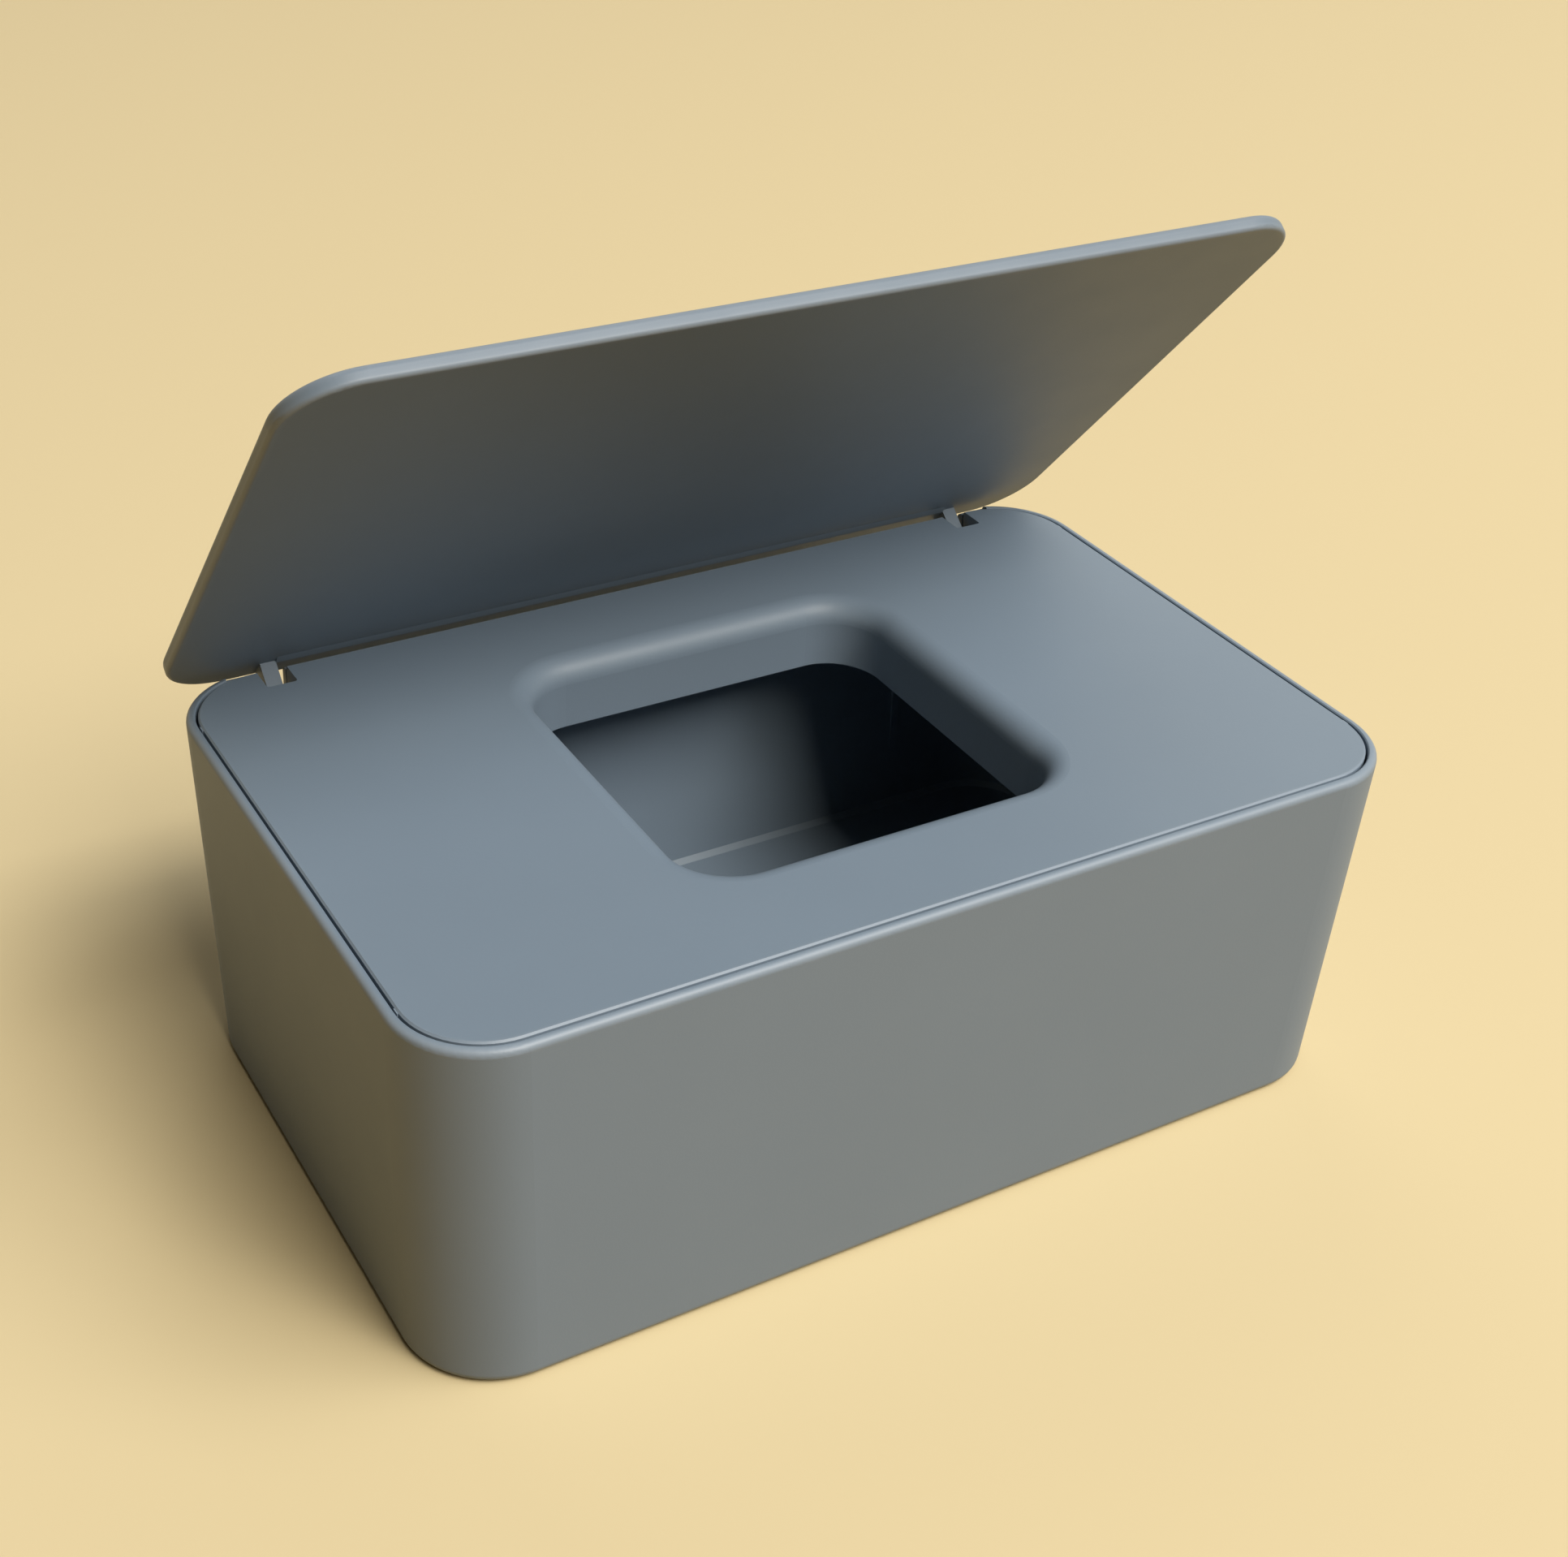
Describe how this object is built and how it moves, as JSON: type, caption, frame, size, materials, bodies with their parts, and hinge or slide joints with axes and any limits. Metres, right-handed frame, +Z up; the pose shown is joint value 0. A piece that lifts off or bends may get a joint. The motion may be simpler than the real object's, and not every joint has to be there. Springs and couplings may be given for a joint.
{
  "type": "wipes dispenser",
  "caption": "Countertop box for wipes with a lift-out inner cover, a rolled square dispensing opening and a flip lid on two hinge arms.",
  "frame": {"origin": "on the surface that the feet stand on, under the middle of the tub", "axes": "+Z up, +X along the long side to the right, +Y to the back, where the lid is hinged"},
  "size_m": [0.1908, 0.1259, 0.158],
  "materials": {
    "tub_plastic": "fine satin moulded, blue-grey",
    "cover_plastic": "fine satin moulded, blue-grey",
    "lid_plastic": "fine satin moulded, blue-grey",
    "pin_steel": "plain drawn wire",
    "foot_rubber": "matte grey"
  },
  "bodies": {
    "box": {"tub": "tub_plastic", "front_left_foot": "foot_rubber", "front_right_foot": "foot_rubber", "rear_left_foot": "foot_rubber", "rear_right_foot": "foot_rubber"},
    "cover": {"inner_cover": "cover_plastic"},
    "lid": {"flip_lid": "lid_plastic", "left_hinge_pin": "pin_steel", "right_hinge_pin": "pin_steel"}
  },
  "joints": [
    {"name": "cover_lift", "type": "slide", "parent": "box", "child": "cover", "axis": [0, 0, 1], "range_m": [0, 0.08]},
    {"name": "lid_hinge", "type": "hinge", "parent": "cover", "child": "lid", "pos_m": [0, 0.0565, 0.06325], "axis": [-1, 0, 0], "range_deg": [-49.2, 50.8]}
  ]
}
